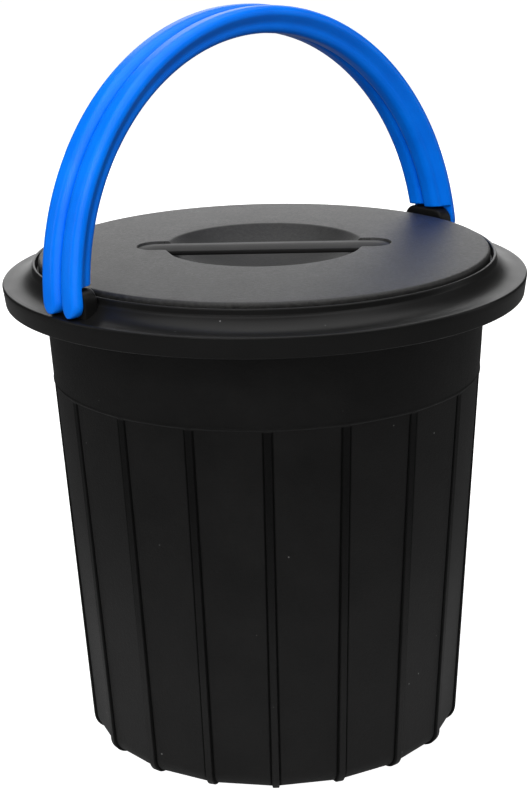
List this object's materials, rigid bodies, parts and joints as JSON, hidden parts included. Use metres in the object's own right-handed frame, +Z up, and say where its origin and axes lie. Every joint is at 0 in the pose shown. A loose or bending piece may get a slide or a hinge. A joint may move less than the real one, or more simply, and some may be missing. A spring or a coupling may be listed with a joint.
{
  "type": "portable camp toilet",
  "caption": "Ribbed bucket with a wide seat rim, a flat lift-off lid with a dished grip, and paired half-ring handles that fold out to form the seat ring.",
  "frame": {"origin": "middle of the base, on the surface that the feet stand on", "axes": "+Z up, +X along the handle pivots to the right lug, -Y to the front handle's folding side"},
  "size_m": [0.37, 0.37, 0.5257],
  "materials": {
    "bucket_plastic": "matt, fine grain",
    "rim_plastic": "satin",
    "lid_plastic": "fine spark-eroded texture",
    "grip_plastic": "satin",
    "handle_plastic": "satin gloss",
    "pin_steel": "drawn"
  },
  "bodies": {
    "base": {"bucket": "bucket_plastic", "seat_rim": "rim_plastic"},
    "lid": {"lid": "lid_plastic", "lid_grip_bar": "grip_plastic"},
    "front_handle": {"front_handle": "handle_plastic", "front_left_pivot_pin": "pin_steel", "front_right_pivot_pin": "pin_steel"},
    "rear_handle": {"rear_handle": "handle_plastic", "rear_left_pivot_pin": "pin_steel", "rear_right_pivot_pin": "pin_steel"}
  },
  "joints": [
    {"name": "front_handle_fold", "type": "hinge", "parent": "base", "child": "front_handle", "pos_m": [0, -0.0095, 0.35125], "axis": [1, 0, 0], "range_deg": [0, 95.6]},
    {"name": "rear_handle_fold", "type": "hinge", "parent": "base", "child": "rear_handle", "pos_m": [0, 0.0095, 0.35125], "axis": [-1, 0, 0], "range_deg": [0, 84.4]},
    {"name": "lid_lift", "type": "slide", "parent": "base", "child": "lid", "axis": [0, 0, 1], "range_m": [0, 0.02]}
  ]
}
